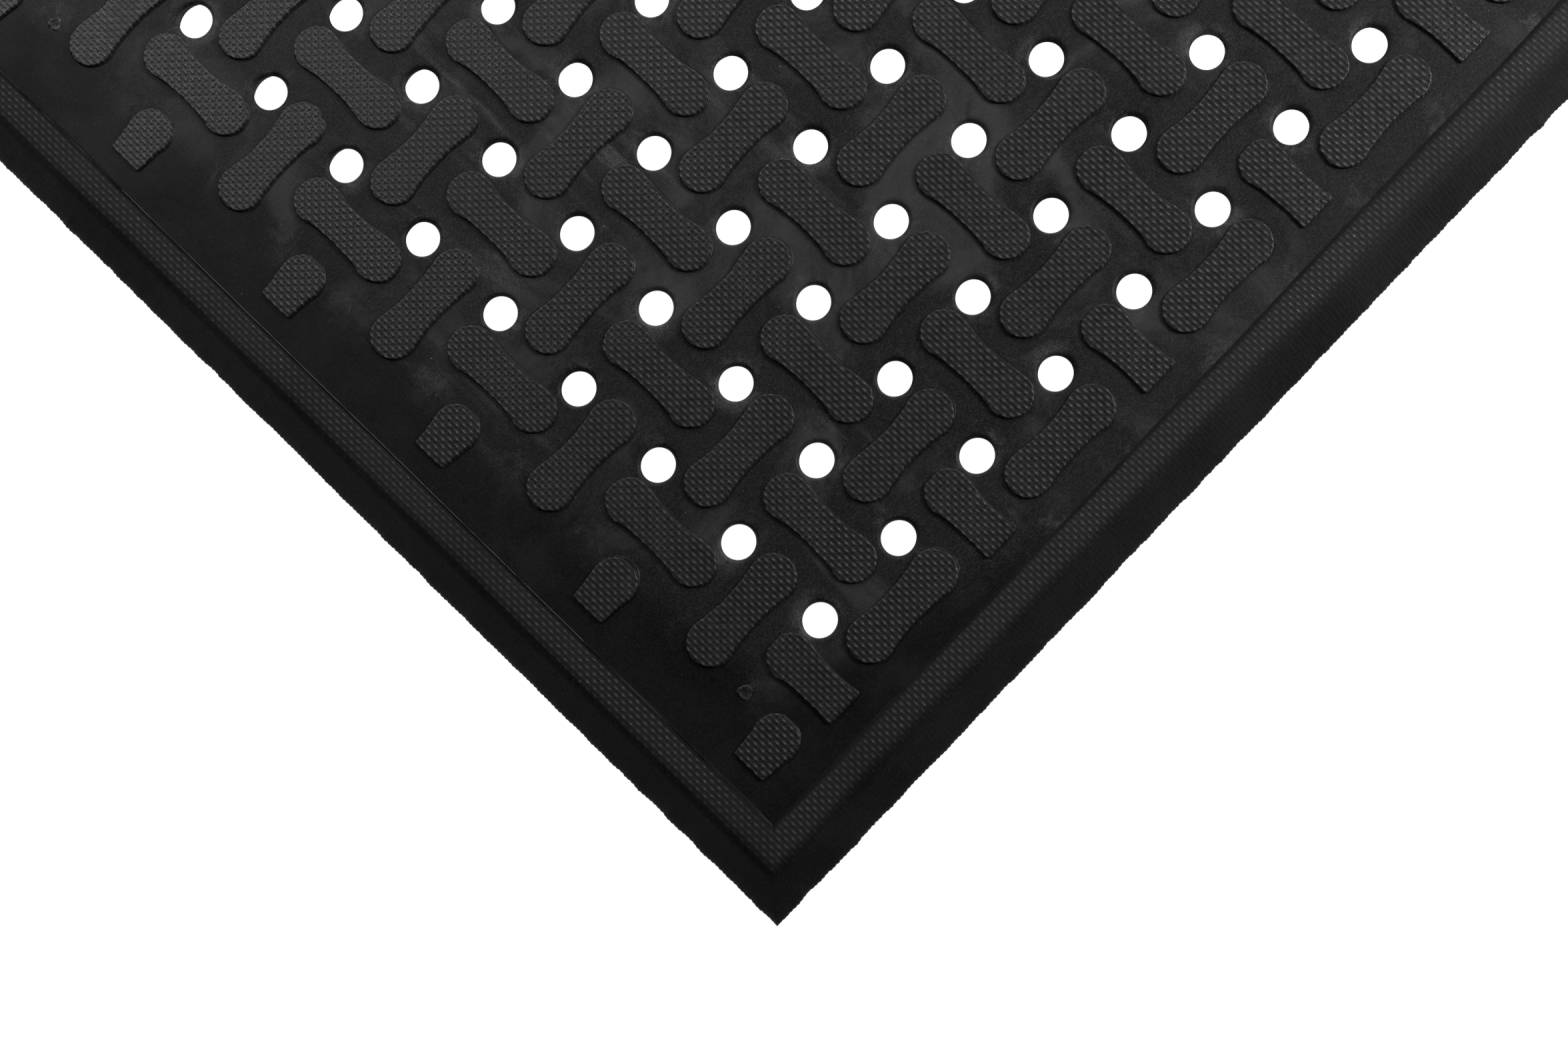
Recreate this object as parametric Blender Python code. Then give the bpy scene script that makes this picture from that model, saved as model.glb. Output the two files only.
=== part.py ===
"""Anti-fatigue drainage mat: a studded rubber tread cap on a foam core, in a ramped rubber border.

Run it with: blender --background --python part.py
Metres, +Z up. The origin is on the floor under the middle of the mat, with +X along the long side.
"""

import math

import bmesh
import bpy
from mathutils import Vector

# Driving dimensions
LENGTH = 0.850
WIDTH = 0.600
THICKNESS = 0.0095
STUD_HEIGHT = 0.0013
CAP_THICKNESS = 0.0017
BOND_GAP = 0.0003

# Border strip, measured inwards from the mat's outer edge
LIP_HEIGHT = 0.0010
RAMP_WIDTH = 0.0134
SHOULDER = 0.0008
BORDER_WIDTH = 0.0256
LAP_WIDTH = 0.0120
LAP_HEIGHT = 0.0025

# Drain holes, on a square grid
PITCH = 0.042
HOLE_DIAMETER = 0.0132
CORE_HOLE_DIAMETER = 0.0172
HOLE_SIDES = 6
HOLE_COLUMNS = 17
HOLE_ROWS = 12
FIRST_HOLE_FROM_LEFT = 0.0924
FIRST_HOLE_FROM_FRONT = 0.0662

# Dog-bone studs, one in each square of the hole grid and in one more row all round it
STUD_LENGTH = 0.0512
LOBE_WIDTH = 0.0178
WAIST_WIDTH = 0.0144
STUD_SHIFT_X = 0.0036
STUD_SHIFT_Y = 0.0025
PLAIN_BAND_X = 0.0096
PLAIN_BAND_Y = 0.0115
LEAST_STUB = 0.33  # the shortest cut-off stud that is moulded, as a share of a whole one

# Corners of a curve's fill and of its caps closer than this are one corner
WELD_DISTANCE = 0.000001

# Worked out from the above
FIELD_TOP = THICKNESS - STUD_HEIGHT
CAP_BOTTOM = FIELD_TOP - CAP_THICKNESS
CORE_TOP = CAP_BOTTOM - BOND_GAP
FIELD_LENGTH = LENGTH - 2 * (BORDER_WIDTH + BOND_GAP)
FIELD_WIDTH = WIDTH - 2 * (BORDER_WIDTH + BOND_GAP)
FIRST_HOLE_X = FIRST_HOLE_FROM_LEFT - LENGTH / 2
FIRST_HOLE_Y = FIRST_HOLE_FROM_FRONT - WIDTH / 2
PATTERN_EDGE_X = LENGTH / 2 - BORDER_WIDTH - PLAIN_BAND_X
PATTERN_EDGE_Y = WIDTH / 2 - BORDER_WIDTH - PLAIN_BAND_Y


def clear_scene():
    for old in list(bpy.data.objects):
        bpy.data.objects.remove(old)


def new_collection(name):
    collection = bpy.data.collections.new(name)
    bpy.context.scene.collection.children.link(collection)
    return collection


def rubber(name, grey, roughness):
    """A black rubber of that grey level."""
    material = bpy.data.materials.new(name)
    material.use_nodes = True
    shader = material.node_tree.nodes["Principled BSDF"]
    shader.inputs["Base Color"].default_value = (grey, grey, grey, 1.0)
    shader.inputs["Roughness"].default_value = roughness
    shader.inputs["Metallic"].default_value = 0.0
    return material


# Flat outlines


def rectangle(length, width):
    x = length / 2
    y = width / 2
    return [(-x, -y), (x, -y), (x, y), (-x, y)]


def hole_centres():
    for column in range(HOLE_COLUMNS):
        for row in range(HOLE_ROWS):
            yield FIRST_HOLE_X + column * PITCH, FIRST_HOLE_Y + row * PITCH


def hole_outline(x, y, diameter):
    """A polygon with the same area as the round hole, one flat side facing +Y."""
    turn = math.tau / HOLE_SIDES
    radius = diameter / 2 * math.sqrt(turn / math.sin(turn))
    corners = [side * turn for side in range(HOLE_SIDES)]
    return [(x + radius * math.cos(a), y + radius * math.sin(a)) for a in corners]


def stud_half_width(along):
    """Half a stud's width at a distance along it from its waist."""
    share = abs(along) / (STUD_LENGTH / 2)
    return (WAIST_WIDTH + (LOBE_WIDTH - WAIST_WIDTH) * share) / 2


def stud_outline(centre, low, high, across):
    """A dog-bone about centre, cut square at low and high. It runs along Y if across is set, else X."""
    stations = [low, 0.0, high] if low < 0 < high else [low, high]
    near = [(along, -stud_half_width(along)) for along in stations]
    far = [(along, stud_half_width(along)) for along in reversed(stations)]
    x, y = centre
    if across:
        return [(x - side, y + along) for along, side in near + far]
    return [(x + along, y + side) for along, side in near + far]


def stud_outlines():
    """Every stud, turned both ways in a basket weave and cut off where the plain band begins."""
    for column in range(-2, HOLE_COLUMNS + 1):
        for row in range(-2, HOLE_ROWS + 1):
            x = FIRST_HOLE_X + (column + 0.5) * PITCH + STUD_SHIFT_X
            y = FIRST_HOLE_Y + (row + 0.5) * PITCH + STUD_SHIFT_Y
            across = (column + row) % 2 == 0
            middle, edge = (y, PATTERN_EDGE_Y) if across else (x, PATTERN_EDGE_X)
            beside, side_edge = (x, PATTERN_EDGE_X) if across else (y, PATTERN_EDGE_Y)
            low = max(-STUD_LENGTH / 2, -edge - middle)
            high = min(STUD_LENGTH / 2, edge - middle)
            if abs(beside) < side_edge and high - low > LEAST_STUB * STUD_LENGTH:
                yield stud_outline((x, y), low, high, across)


# Solids


def flat_solid(name, outlines, bottom, top, collection):
    """A plate between two heights. Outlines inside the first one are holes in it."""
    curve = bpy.data.curves.new(name, "CURVE")
    curve.dimensions = "2D"
    curve.fill_mode = "BOTH"
    curve.extrude = (top - bottom) / 2
    for outline in outlines:
        spline = curve.splines.new("POLY")
        spline.points.add(len(outline) - 1)
        for point, (x, y) in zip(spline.points, outline, strict=True):
            point.co = (x, y, 0.0, 1.0)
        spline.use_cyclic_u = True
    drawn = bpy.data.objects.new(name + "_outline", curve)
    drawn.location.z = (top + bottom) / 2
    bpy.context.scene.collection.objects.link(drawn)
    return mesh_from(name, drawn, collection)


def mesh_from(name, drawn, collection):
    """Turns a curve object into a closed mesh object in its place, and removes the curve."""
    bpy.context.view_layer.update()
    evaluated = drawn.evaluated_get(bpy.context.evaluated_depsgraph_get())
    mesh = bpy.data.meshes.new_from_object(evaluated)
    shape = bmesh.new()
    shape.from_mesh(mesh)
    bmesh.ops.remove_doubles(shape, verts=shape.verts, dist=WELD_DISTANCE)
    bmesh.ops.transform(shape, matrix=drawn.matrix_world, verts=shape.verts)
    bmesh.ops.recalc_face_normals(shape, faces=shape.faces)
    shape.to_mesh(mesh)
    shape.free()
    bpy.data.objects.remove(drawn)
    solid = bpy.data.objects.new(name, mesh)
    collection.objects.link(solid)
    return solid


def add_boolean(solid, other, operation):
    other.hide_render = True
    other.display_type = "WIRE"
    change = solid.modifiers.new(other.name, "BOOLEAN")
    change.operation = operation
    change.object = other


def plate(name, bottom, top, collection):
    """A plain sheet that fills the border, between two heights."""
    shape = bmesh.new()
    bmesh.ops.create_cube(shape, size=1.0)
    size = (FIELD_LENGTH, FIELD_WIDTH, top - bottom)
    bmesh.ops.scale(shape, vec=size, verts=shape.verts)
    bmesh.ops.translate(shape, vec=(0.0, 0.0, (top + bottom) / 2), verts=shape.verts)
    mesh = bpy.data.meshes.new(name)
    shape.to_mesh(mesh)
    shape.free()
    solid = bpy.data.objects.new(name, mesh)
    collection.objects.link(solid)
    return solid


def make_drills(name, diameter, helpers):
    """One cutter for all of a layer's drain holes, longer than the layer is thick."""
    outlines = [hole_outline(x, y, diameter) for x, y in hole_centres()]
    return flat_solid(name, outlines, -THICKNESS, 2 * THICKNESS, helpers)


def make_cushion_core(parts, helpers):
    """The foam sheet, drilled wider than the tread, its lower edge rebated to lie on the border's lap."""
    core = plate("cushion_core", 0.0, CORE_TOP, parts)
    rebate = LAP_WIDTH + BOND_GAP
    outside = rectangle(LENGTH, WIDTH)
    inside = rectangle(FIELD_LENGTH - 2 * rebate, FIELD_WIDTH - 2 * rebate)
    top = LAP_HEIGHT + BOND_GAP
    cutter = flat_solid("lap_rebate", [outside, inside], -top, top, helpers)
    drills = make_drills("core_drills", CORE_HOLE_DIAMETER, helpers)
    add_boolean(core, cutter, "DIFFERENCE")
    add_boolean(core, drills, "DIFFERENCE")
    return core


def make_tread_cap(parts, helpers):
    """The solid-rubber top sheet with its studs standing on it, drilled all over between them."""
    cap = plate("tread_cap", CAP_BOTTOM, FIELD_TOP, parts)
    root = FIELD_TOP - CAP_THICKNESS / 2
    studs = flat_solid("studs", list(stud_outlines()), root, THICKNESS, helpers)
    drills = make_drills("cap_drills", HOLE_DIAMETER, helpers)
    add_boolean(cap, studs, "UNION")
    add_boolean(cap, drills, "DIFFERENCE")
    return cap


def border_profile():
    """The strip's section, as distances inwards from the outer edge and heights."""
    return [
        (0.0, 0.0),
        (BORDER_WIDTH + LAP_WIDTH, 0.0),
        (BORDER_WIDTH + LAP_WIDTH, LAP_HEIGHT),
        (BORDER_WIDTH, LAP_HEIGHT),
        (BORDER_WIDTH, THICKNESS - SHOULDER),
        (BORDER_WIDTH - SHOULDER, THICKNESS),
        (RAMP_WIDTH + SHOULDER, THICKNESS),
        (RAMP_WIDTH - SHOULDER, THICKNESS - SHOULDER),
        (0.0, LIP_HEIGHT),
    ]


def make_border_strip(name, run, across, turned, parts):
    """A strip for a side run long, lying half of across from the middle, with both its ends mitred."""
    profile = [(inwards - across / 2, height) for inwards, height in border_profile()]
    bar = flat_solid(name, [profile], -run / 2, run / 2, parts)
    shape = bmesh.new()
    shape.from_mesh(bar.data)
    for corner in shape.verts:
        y, z, x = corner.co
        corner.co = Vector((x, y, z))
    mitre_gap = BOND_GAP / 2 * math.sqrt(2)
    for end in (-1, 1):
        bmesh.ops.bisect_plane(
            shape,
            geom=shape.verts[:] + shape.edges[:] + shape.faces[:],
            plane_co=(end * (run / 2 - mitre_gap), -across / 2, 0.0),
            plane_no=(end, 1.0, 0.0),
            clear_outer=True,
        )
        bmesh.ops.holes_fill(shape, edges=[e for e in shape.edges if e.is_boundary])
    bmesh.ops.recalc_face_normals(shape, faces=shape.faces)
    shape.to_mesh(bar.data)
    shape.free()
    bar.rotation_euler.z = turned
    return bar


def build():
    clear_scene()
    parts = new_collection("anti_fatigue_mat")
    helpers = new_collection("cutters")
    cap_rubber = rubber("tread_rubber", 0.020, 0.55)
    foam_rubber = rubber("foam_rubber", 0.016, 0.80)
    border_rubber = rubber("border_rubber", 0.014, 0.60)

    make_cushion_core(parts, helpers).data.materials.append(foam_rubber)
    make_tread_cap(parts, helpers).data.materials.append(cap_rubber)
    sides = [
        ("border_front", LENGTH, WIDTH, 0.0),
        ("border_right", WIDTH, LENGTH, math.radians(90)),
        ("border_back", LENGTH, WIDTH, math.radians(180)),
        ("border_left", WIDTH, LENGTH, math.radians(270)),
    ]
    for name, run, across, turned in sides:
        strip = make_border_strip(name, run, across, turned, parts)
        strip.data.materials.append(border_rubber)


build()
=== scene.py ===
"""The looks of the drainage mat, built round its CAD frame.

The mat is a studded rubber tread on a foam core in a ramped border. Everything is in metres in the frame's
own axes: +X along the mat, +Y across it, +Z up, with the floor at zero.
"""

import math

import bmesh
import bpy
import numpy as np
from mathutils import Matrix, Vector
from mathutils.geometry import delaunay_2d_cdt


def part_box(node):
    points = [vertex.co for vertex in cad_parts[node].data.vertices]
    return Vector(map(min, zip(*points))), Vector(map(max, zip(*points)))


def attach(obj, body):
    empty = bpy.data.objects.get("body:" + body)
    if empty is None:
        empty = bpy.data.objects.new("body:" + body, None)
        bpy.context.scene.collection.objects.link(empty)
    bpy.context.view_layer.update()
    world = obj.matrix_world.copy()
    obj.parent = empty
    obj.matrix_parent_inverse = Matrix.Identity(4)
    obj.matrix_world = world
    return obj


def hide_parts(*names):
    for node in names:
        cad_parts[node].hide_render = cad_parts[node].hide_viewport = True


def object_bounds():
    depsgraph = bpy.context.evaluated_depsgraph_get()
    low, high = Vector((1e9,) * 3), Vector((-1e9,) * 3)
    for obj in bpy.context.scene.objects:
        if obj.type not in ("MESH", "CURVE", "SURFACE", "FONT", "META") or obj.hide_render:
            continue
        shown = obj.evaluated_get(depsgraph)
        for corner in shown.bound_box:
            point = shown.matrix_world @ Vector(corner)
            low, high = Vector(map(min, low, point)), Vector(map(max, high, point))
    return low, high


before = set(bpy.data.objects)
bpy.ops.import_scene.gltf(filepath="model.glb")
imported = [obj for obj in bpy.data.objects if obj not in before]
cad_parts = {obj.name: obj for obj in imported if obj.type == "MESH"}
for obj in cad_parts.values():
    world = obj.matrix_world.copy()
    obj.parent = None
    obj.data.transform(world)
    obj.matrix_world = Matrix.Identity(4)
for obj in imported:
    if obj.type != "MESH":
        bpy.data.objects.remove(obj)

ROOT = "root"
CAD_LOW, CAD_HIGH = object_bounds()

# Sizes that the frame gives
LENGTH = CAD_HIGH.x - CAD_LOW.x
WIDTH = CAD_HIGH.y - CAD_LOW.y
THICKNESS = CAD_HIGH.z
CAP_LOW, CAP_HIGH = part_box("tread_cap")
STRIP_LOW, STRIP_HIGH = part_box("border_front")
CAP_BOTTOM = CAP_LOW.z
FIELD_X = CAP_HIGH.x
FIELD_Y = CAP_HIGH.y
BORDER_WIDTH = WIDTH / 2 - FIELD_Y
LAP_END = STRIP_HIGH.y - STRIP_LOW.y

# Levels
STUD_HEIGHT = 0.0013
FIELD_TOP = THICKNESS - STUD_HEIGHT
LAP_HEIGHT = 0.0025
BOND_LINE = 0.00002
WELD_DISTANCE = 0.00001

# Drain holes, on a square grid
PITCH = 0.042
HOLE_RADIUS = 0.0066
HOLE_OVAL = 0.022
HOLE_OVAL_HEADING = math.radians(10.0)
CORE_HOLE_RADIUS = 0.0086
HOLE_COLUMNS = 17
HOLE_ROWS = 12
HOLE_SIDES = 36
SIDES_PER_EDGE = HOLE_SIDES // 4
FIRST_HOLE_X = 0.0924 - LENGTH / 2
FIRST_HOLE_Y = 0.0662 - WIDTH / 2

# Dog-bone studs. Row -1 lies outside the first row of holes, and columns -2 and -1 outside the first column.
STUD_ROWS = range(-1, HOLE_ROWS)
STUD_COLUMNS = range(-2, HOLE_COLUMNS)
STUD_LENGTH = 0.0512
LOBE_WIDTH = 0.0178
WAIST_WIDTH = 0.0144
STUD_SHIFT_X = 0.0036
STUD_SHIFT_Y = 0.0025
PATTERN_EDGE_X = FIELD_X - 0.0093
PATTERN_EDGE_Y = FIELD_Y - 0.0112
LEAST_STUB = 0.33
LOBE_STEPS = 40
WAIST_STEPS = 60
OUTLINE_STEP = 0.00055
CUT_CORNER = 0.0006

# Woven press mark, on the studs and on the border's ridge
YARN = PITCH / 22
GRID = YARN / 4
WEAVE_HEIGHT = 0.00006
YARN_LIFT = 0.42
WEFT_SHARE = 0.60
CROSSING_LIFT = 0.30
CRISP_HEIGHT = 0.00010
CLOTH_DRIFT = 0.00020
YARN_SHARPNESS = 2.2
MARK_LEVEL = 0.6

# View. Its aim and its eye are counted in hole pitches from the first hole.
VIEW_HEADING = 43.93
VIEW_AIM = (0.402, 0.825, 0.0)
VIEW_EYE = (0.324, -1.889, 20.996)
LENS = 55.1
SENSOR_WIDTH = 36.0
NEAREST = 0.01

# Light. A lamp has a name, a place, the place it is aimed at, a width and a power. A place is in metres, to
# the right of the view's middle, up the view, and above the floor.
LAMPS = [
    ("lamp_left", (-0.70, 0.70, 0.95), (0.0, 0.0, 0.0), 0.5, 3.7),
    ("lamp_right", (0.90, 0.32, 0.56), (0.0, 0.0, 0.0), 0.4, 7.2),
    ("lamp_back", (0.05, 1.15, 0.65), (0.0, 0.45, 0.0), 0.5, 4.5),
]
WORLD_LIGHT = 0.02

# Floor
FLOOR_REACH = 25.0
FLOOR_LEVEL = -0.0001
FLOOR_GREY = 0.9
FLOOR_GLOW = 1.0


# Smooth random values

NOISE_SPAN = 1.2


def noise(x, y, size, seed):
    """Values between -1 and 1 that change smoothly over about size metres."""
    columns = int(LENGTH * NOISE_SPAN / size) + 4
    rows = int(WIDTH * NOISE_SPAN / size) + 4
    corners = np.random.default_rng(seed).uniform(-1.0, 1.0, (columns, rows))
    u = np.clip((np.asarray(x) + LENGTH * NOISE_SPAN / 2) / size, 0, columns - 2)
    v = np.clip((np.asarray(y) + WIDTH * NOISE_SPAN / 2) / size, 0, rows - 2)
    i = u.astype(int)
    j = v.astype(int)
    s = (u - i) ** 2 * (3 - 2 * (u - i))
    t = (v - j) ** 2 * (3 - 2 * (v - j))
    low = corners[i, j] * (1 - s) + corners[i + 1, j] * s
    high = corners[i, j + 1] * (1 - s) + corners[i + 1, j + 1] * s
    return low * (1 - t) + high * t


def layered(x, y, size, seed, layers=3):
    """Noise with finer and weaker noise added to it."""
    total = np.zeros(np.shape(x))
    for layer in range(layers):
        total += noise(x, y, size / 2**layer, seed + layer) / 2**layer
    return total / (2 - 0.5 ** (layers - 1))


# Meshes


def mesh_piece(name, points, quads, triangles, material, press=None):
    """A piece from arrays of corners and of faces.

    Press tells the material each corner's place on the cloth, in yarns, and its share of the cloth's mark.
    """
    mesh = bpy.data.meshes.new(name)
    quads = np.asarray(quads, np.int32).reshape(-1, 4)
    triangles = np.asarray(triangles, np.int32).reshape(-1, 3)
    loops = np.concatenate([quads.ravel(), triangles.ravel()])
    sizes = np.concatenate([np.full(len(quads), 4), np.full(len(triangles), 3)])
    starts = np.concatenate([[0], np.cumsum(sizes)[:-1]])
    mesh.vertices.add(len(points))
    mesh.vertices.foreach_set("co", np.asarray(points, np.float32).ravel())
    mesh.loops.add(len(loops))
    mesh.loops.foreach_set("vertex_index", loops.astype(np.int32))
    mesh.polygons.add(len(sizes))
    mesh.polygons.foreach_set("loop_start", starts.astype(np.int32))
    mesh.update(calc_edges=True)
    if press is not None:
        mark = mesh.attributes.new("press", "FLOAT_VECTOR", "POINT")
        mark.data.foreach_set("vector", np.asarray(press, np.float32).ravel())
    mesh.materials.append(material)
    return add_object(name, mesh)


def add_object(name, data):
    """A new object in the scene."""
    added = bpy.data.objects.new(name, data)
    bpy.context.scene.collection.objects.link(added)
    return added


def rework(piece, change):
    """Makes a change to a piece's mesh and turns all its faces outwards."""
    shape = bmesh.new()
    shape.from_mesh(piece.data)
    change(shape)
    bmesh.ops.recalc_face_normals(shape, faces=shape.faces)
    shape.to_mesh(piece.data)
    shape.free()


def weld(piece):
    """Joins corners that share a place."""
    rework(piece, lambda shape: bmesh.ops.remove_doubles(shape, verts=shape.verts, dist=WELD_DISTANCE))


def close_ends(piece, caps):
    """Fills a piece's open ends, each given as its corners in order."""
    def fill(shape):
        shape.verts.ensure_lookup_table()
        for cap in caps:
            face = shape.faces.new([shape.verts[k] for k in cap])
            bmesh.ops.triangulate(shape, faces=[face])

    rework(piece, fill)


def shade(piece, crease):
    """Shades smooth, with a hard edge where two faces meet at more than crease degrees."""
    piece.data.shade_smooth()
    piece.data.set_sharp_from_angle(angle=math.radians(crease))


def finish_piece(piece, replaced):
    """Parents the piece to the body it rides on and hides the CAD node it stands for."""
    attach(piece, ROOT)
    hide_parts(replaced)


def ring_quads(index):
    """Quads between each ring of corners and the next. The index has a row of numbers for each ring."""
    after = np.roll(index, -1, axis=1)
    return np.stack([index[:-1], after[:-1], after[1:], index[1:]], -1).reshape(-1, 4)


# Woven press mark


def cloth_place(x, y):
    """Places on the slightly distorted cloth, counted in yarns along X and along Y."""
    u = (x + CLOTH_DRIFT * noise(x, y, 0.021, 13)) / YARN
    v = (y + CLOTH_DRIFT * noise(x, y, 0.021, 14)) / YARN
    return u, v


def woven(x, y):
    """Heights of a plain-woven cloth, from about 0 in its deepest gaps to about 1 on its yarns.

    The yarns along Y stand higher than those along X, so their crowns are long and nearly run together.
    """
    warp_share = 1.0 + 0.12 * noise(x, y, 0.019, 11)
    weft_share = WEFT_SHARE + 0.20 * noise(x, y, 0.019, 12)
    u, v = cloth_place(x, y)
    i = np.round(u)
    j = np.round(v)
    warp = warp_share * (YARN_LIFT * np.cos(math.pi * (v - i)) + np.cos(math.pi * (u - i)))
    weft = weft_share * (np.cos(math.pi * (v - j)) - YARN_LIFT * np.cos(math.pi * (u - j)))
    return np.clip(np.maximum(warp, weft) / (1 + YARN_LIFT), -0.2, 1.3)


def press_depth(x, y):
    """How deep the press mark is at a place, as a share."""
    return 0.85 + 0.40 * noise(x, y, 0.050, 21)


def press_values(x, y, share):
    """Each corner's place on the cloth and its share of the mark, as mesh_piece takes them."""
    u, v = cloth_place(x, y)
    return np.stack([u, v, np.broadcast_to(share, np.shape(u))], 1)


# Materials


class Tree:
    """A material's node tree, with short calls to add and join its nodes."""

    def __init__(self, name, rough, specular):
        self.material = bpy.data.materials.new(name)
        self.material.use_nodes = True
        self.nodes = self.material.node_tree.nodes
        self.links = self.material.node_tree.links
        self.shader = self.nodes["Principled BSDF"]
        self.shader.inputs["Roughness"].default_value = rough
        self.shader.inputs["Specular IOR Level"].default_value = specular
        self.place = self.nodes.new("ShaderNodeTexCoord").outputs["Object"]

    def add(self, kind, sockets):
        """A new node, with a value or another node's output in each named socket."""
        node = self.nodes.new("ShaderNode" + kind)
        for name, value in sockets.items():
            if isinstance(value, bpy.types.NodeSocket):
                self.links.new(value, node.inputs[name])
            else:
                node.inputs[name].default_value = value
        return node

    def noise(self, scale, detail, roughness, distortion=0.0, stretch=None):
        """Noise between 0 and 1. Stretch is a scale along each axis and a turn about Z, in radians."""
        place = self.place
        if stretch is not None:
            turn = (0.0, 0.0, stretch[1])
            mapping = self.add("Mapping", {"Vector": place, "Rotation": turn, "Scale": stretch[0]})
            place = mapping.outputs["Vector"]
        sockets = {"Vector": place, "Scale": scale, "Detail": detail}
        sockets.update({"Roughness": roughness, "Distortion": distortion})
        return self.add("TexNoise", sockets).outputs["Fac"]

    def ramp(self, source, low, high, low_value=0.0, high_value=1.0):
        """Maps a value from low..high to low_value..high_value, smoothly and within them."""
        limits = {"From Min": low, "From Max": high, "To Min": low_value, "To Max": high_value}
        node = self.add("MapRange", {"Value": source, **limits})
        node.interpolation_type = "SMOOTHSTEP"
        return node.outputs["Result"]

    def maths(self, operation, first, second=0.0):
        node = self.add("Math", {0: first, 1: second})
        node.operation = operation
        return node.outputs["Value"]

    def times(self, first, second):
        return self.maths("MULTIPLY", first, second)

    def minus(self, first, second):
        return self.maths("SUBTRACT", first, second)

    def split(self, vector):
        """A vector's three parts."""
        return self.add("SeparateXYZ", {"Vector": vector}).outputs

    def mix(self, share, first, second):
        """A colour between two colours or two earlier mixes."""
        node = self.nodes.new("ShaderNodeMix")
        node.data_type = "RGBA"
        self.links.new(share, node.inputs["Factor"])
        for name, value in (("A", first), ("B", second)):
            socket = next(s for s in node.inputs if s.name == name and s.type == "RGBA")
            if isinstance(value, tuple):
                socket.default_value = (*value, 1.0)
            else:
                self.links.new(value, socket)
        return next(s for s in node.outputs if s.type == "RGBA")

    def cloth(self):
        """The woven surface's height between about 0 and 1, and the share of it that a place carries."""
        source = self.nodes.new("ShaderNodeAttribute")
        source.attribute_name = "press"
        u, v, share = self.split(source.outputs["Vector"])
        thin = self.ramp(self.noise(55.0, 2.0, 0.5), 0.3, 0.7, 0.22, 0.55)
        warp = self.yarn(u, v, CROSSING_LIFT)
        weft = self.times(self.yarn(v, u, -CROSSING_LIFT), thin)
        return self.maths("MAXIMUM", warp, weft), share

    def yarn(self, across, along, lift):
        """A narrow rounded yarn that rises and falls along its length, in step with its number."""
        number = self.maths("ROUND", across)
        crest = self.maths("MAXIMUM", self.wave(across, number, 1.0), 0.0)
        round_top = self.maths("POWER", crest, YARN_SHARPNESS)
        level = self.maths("ADD", self.wave(along, number, lift), 1.0 - abs(lift))
        return self.times(round_top, level)

    def wave(self, place, start, height):
        """A cosine wave, two yarns long."""
        turned = self.times(self.minus(place, start), math.pi)
        return self.times(self.maths("COSINE", turned), height)

    def bump(self, height, distance, strength=1.0, under=None):
        sockets = {"Height": height, "Distance": distance, "Strength": strength}
        if under is not None:
            sockets["Normal"] = under
        return self.add("Bump", sockets).outputs["Normal"]

    def set(self, name, source):
        self.links.new(source, self.shader.inputs[name])


def grey(value):
    return (value, value, value * 1.02)


def hole_halo(tree):
    """How near a place is to a drain hole's rim: 1 at the rim, 0 from about half a hole's width away."""
    squares = []
    for place, first in zip(tree.split(tree.place), (FIRST_HOLE_X, FIRST_HOLE_Y)):
        cells = tree.maths("DIVIDE", tree.minus(place, first), PITCH)
        beside = tree.minus(cells, tree.maths("ROUND", cells))
        squares.append(tree.times(beside, beside))
    far = tree.maths("SQRT", tree.maths("ADD", squares[0], squares[1]))
    return tree.ramp(far, HOLE_RADIUS * 1.05 / PITCH, HOLE_RADIUS * 2.1 / PITCH, 1.0, 0.0)


def studded_part(tree):
    """1 among the studs, 0 on the plain strip beside the border."""
    place_x, place_y, _ = tree.split(tree.place)
    x = tree.minus(FIELD_X, tree.maths("ABSOLUTE", place_x))
    y = tree.minus(FIELD_Y, tree.maths("ABSOLUTE", place_y))
    wave = tree.times(tree.noise(14.0, 3.0, 0.6), 0.030)
    long_side = tree.maths("ADD", y, tree.ramp(x, 0.05, 0.22, 0.0, 0.050))
    return tree.ramp(tree.minus(tree.maths("MINIMUM", x, long_side), wave), 0.002, 0.030)


def field_chalk(tree, inner, grain):
    """How chalky the field is: in wiped streaks that cross each other, and round the holes."""
    halo = tree.times(hole_halo(tree), tree.ramp(tree.noise(48.0, 5.0, 0.7), 0.47, 0.66))
    across = tree.ramp(tree.noise(50.0, 6.0, 0.68, 0.3, ((1.0, 0.14, 1.0), 0.75)), 0.53, 0.70)
    along = tree.ramp(tree.noise(50.0, 6.0, 0.68, 0.3, ((1.0, 0.16, 1.0), -0.65)), 0.55, 0.73)
    streaks = tree.maths("MAXIMUM", across, along)
    wipes = tree.times(streaks, tree.ramp(tree.noise(9.0, 3.0, 0.5), 0.46, 0.64, 0.0, 0.9))
    chalk = tree.times(tree.maths("MAXIMUM", tree.times(halo, 0.7), wipes), inner)
    return tree.times(chalk, tree.ramp(grain, 0.40, 0.64, 0.20, 1.0))


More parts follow.
